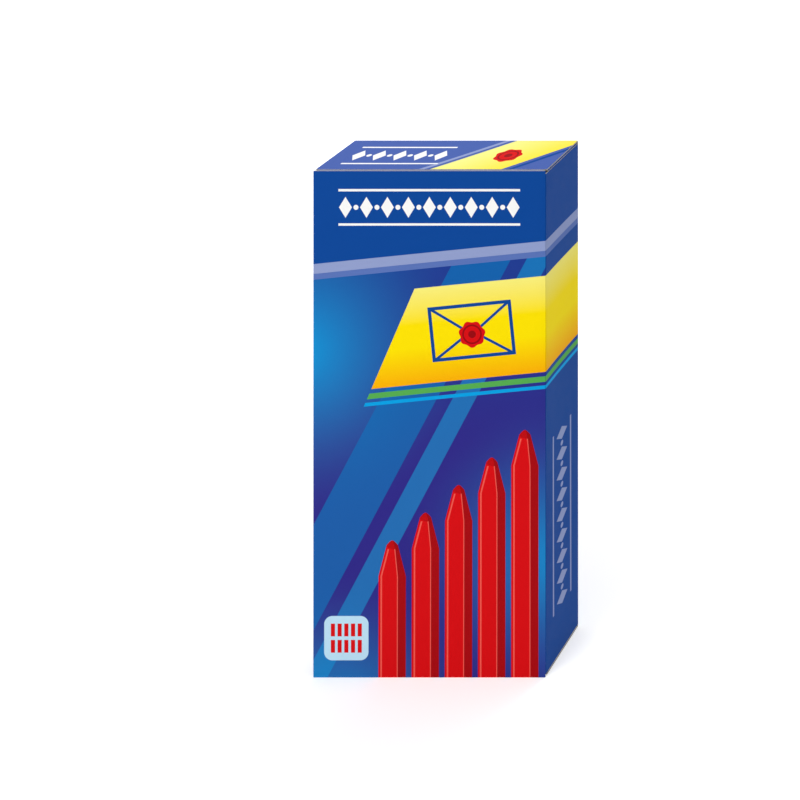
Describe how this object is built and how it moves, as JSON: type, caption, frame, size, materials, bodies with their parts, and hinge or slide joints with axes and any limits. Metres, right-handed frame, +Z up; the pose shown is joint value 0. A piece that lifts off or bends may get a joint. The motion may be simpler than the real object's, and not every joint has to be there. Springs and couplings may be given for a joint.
{
  "type": "sealing wax stick carton",
  "caption": "Tuck-end paperboard carton with hinged closure, tuck and dust flaps, packed with cast red sealing wax sticks that taper to a tip.",
  "frame": {"origin": "middle of the base, on the surface that the carton stands on", "axes": "+Z up along the sticks, +X to the right seen from the front, front panel facing -Y"},
  "size_m": [0.08, 0.0224, 0.174],
  "materials": {
    "printed_board": "offset printed blue and yellow, satin varnish outside, uncoated inside",
    "raw_board": "uncoated grey-white board",
    "red_wax": "cast, glossy"
  },
  "bodies": {
    "sleeve": {"front_panel": "printed_board", "back_panel": "printed_board", "left_panel": "printed_board", "right_panel": "printed_board", "glue_flap": "raw_board"},
    "top_lid": {"top_lid": "printed_board"},
    "top_tuck_flap": {"top_tuck_flap": "printed_board"},
    "top_dust_flap_left": {"top_dust_flap_left": "printed_board"},
    "top_dust_flap_right": {"top_dust_flap_right": "printed_board"},
    "bottom_lid": {"bottom_lid": "printed_board"},
    "bottom_tuck_flap": {"bottom_tuck_flap": "printed_board"},
    "bottom_dust_flap_left": {"bottom_dust_flap_left": "printed_board"},
    "bottom_dust_flap_right": {"bottom_dust_flap_right": "printed_board"},
    "wax_stick_front_1": {"wax_stick_front_1": "red_wax"},
    "wax_stick_front_2": {"wax_stick_front_2": "red_wax"},
    "wax_stick_front_3": {"wax_stick_front_3": "red_wax"},
    "wax_stick_front_4": {"wax_stick_front_4": "red_wax"},
    "wax_stick_front_5": {"wax_stick_front_5": "red_wax"},
    "wax_stick_back_1": {"wax_stick_back_1": "red_wax"},
    "wax_stick_back_2": {"wax_stick_back_2": "red_wax"},
    "wax_stick_back_3": {"wax_stick_back_3": "red_wax"},
    "wax_stick_back_4": {"wax_stick_back_4": "red_wax"},
    "wax_stick_back_5": {"wax_stick_back_5": "red_wax"}
  },
  "joints": [
    {"name": "top_lid_fold", "type": "hinge", "parent": "sleeve", "child": "top_lid", "pos_m": [0, 0.01101, 0.17378], "axis": [-1, 0, 0], "range_deg": [0, 120]},
    {"name": "top_tuck_fold", "type": "hinge", "parent": "top_lid", "child": "top_tuck_flap", "pos_m": [0, -0.01026, 0.17378], "axis": [1, 0, 0], "range_deg": [0, 36]},
    {"name": "top_dust_left_fold", "type": "hinge", "parent": "sleeve", "child": "top_dust_flap_left", "pos_m": [-0.03977, 0, 0.17317], "axis": [0, -1, 0], "range_deg": [0, 60]},
    {"name": "top_dust_right_fold", "type": "hinge", "parent": "sleeve", "child": "top_dust_flap_right", "pos_m": [0.03977, 0, 0.17317], "axis": [0, 1, 0], "range_deg": [0, 60]},
    {"name": "bottom_lid_fold", "type": "hinge", "parent": "sleeve", "child": "bottom_lid", "pos_m": [0, 0.01101, 0.00022], "axis": [1, 0, 0], "range_deg": [0, 120]},
    {"name": "bottom_tuck_fold", "type": "hinge", "parent": "bottom_lid", "child": "bottom_tuck_flap", "pos_m": [0, -0.01026, 0.00022], "axis": [-1, 0, 0], "range_deg": [0, 36]},
    {"name": "bottom_dust_left_fold", "type": "hinge", "parent": "sleeve", "child": "bottom_dust_flap_left", "pos_m": [-0.03977, 0, 0.00082], "axis": [0, 1, 0], "range_deg": [0, 60]},
    {"name": "bottom_dust_right_fold", "type": "hinge", "parent": "sleeve", "child": "bottom_dust_flap_right", "pos_m": [0.03977, 0, 0.00082], "axis": [0, -1, 0], "range_deg": [0, 60]},
    {"name": "wax_stick_front_1_slide", "type": "slide", "parent": "sleeve", "child": "wax_stick_front_1", "axis": [0, 0, 1], "range_m": [0, 0.0024]},
    {"name": "wax_stick_front_2_slide", "type": "slide", "parent": "sleeve", "child": "wax_stick_front_2", "axis": [0, 0, 1], "range_m": [0, 0.003]},
    {"name": "wax_stick_front_3_slide", "type": "slide", "parent": "sleeve", "child": "wax_stick_front_3", "axis": [0, 0, 1], "range_m": [0, 0.003]},
    {"name": "wax_stick_front_4_slide", "type": "slide", "parent": "sleeve", "child": "wax_stick_front_4", "axis": [0, 0, 1], "range_m": [0, 0.003]},
    {"name": "wax_stick_front_5_slide", "type": "slide", "parent": "sleeve", "child": "wax_stick_front_5", "axis": [0, 0, 1], "range_m": [0, 0.0024]},
    {"name": "wax_stick_back_1_slide", "type": "slide", "parent": "sleeve", "child": "wax_stick_back_1", "axis": [0, 0, 1], "range_m": [0, 0.0024]},
    {"name": "wax_stick_back_2_slide", "type": "slide", "parent": "sleeve", "child": "wax_stick_back_2", "axis": [0, 0, 1], "range_m": [0, 0.003]},
    {"name": "wax_stick_back_3_slide", "type": "slide", "parent": "sleeve", "child": "wax_stick_back_3", "axis": [0, 0, 1], "range_m": [0, 0.003]},
    {"name": "wax_stick_back_4_slide", "type": "slide", "parent": "sleeve", "child": "wax_stick_back_4", "axis": [0, 0, 1], "range_m": [0, 0.003]},
    {"name": "wax_stick_back_5_slide", "type": "slide", "parent": "sleeve", "child": "wax_stick_back_5", "axis": [0, 0, 1], "range_m": [0, 0.0024]}
  ],
  "couplings": [
    {"joint": "top_tuck_fold", "follows": "top_lid_fold", "ratio": 0.3},
    {"joint": "top_dust_left_fold", "follows": "top_lid_fold", "ratio": 0.5},
    {"joint": "top_dust_right_fold", "follows": "top_lid_fold", "ratio": 0.5},
    {"joint": "bottom_tuck_fold", "follows": "bottom_lid_fold", "ratio": 0.3},
    {"joint": "bottom_dust_left_fold", "follows": "bottom_lid_fold", "ratio": 0.5},
    {"joint": "bottom_dust_right_fold", "follows": "bottom_lid_fold", "ratio": 0.5}
  ]
}
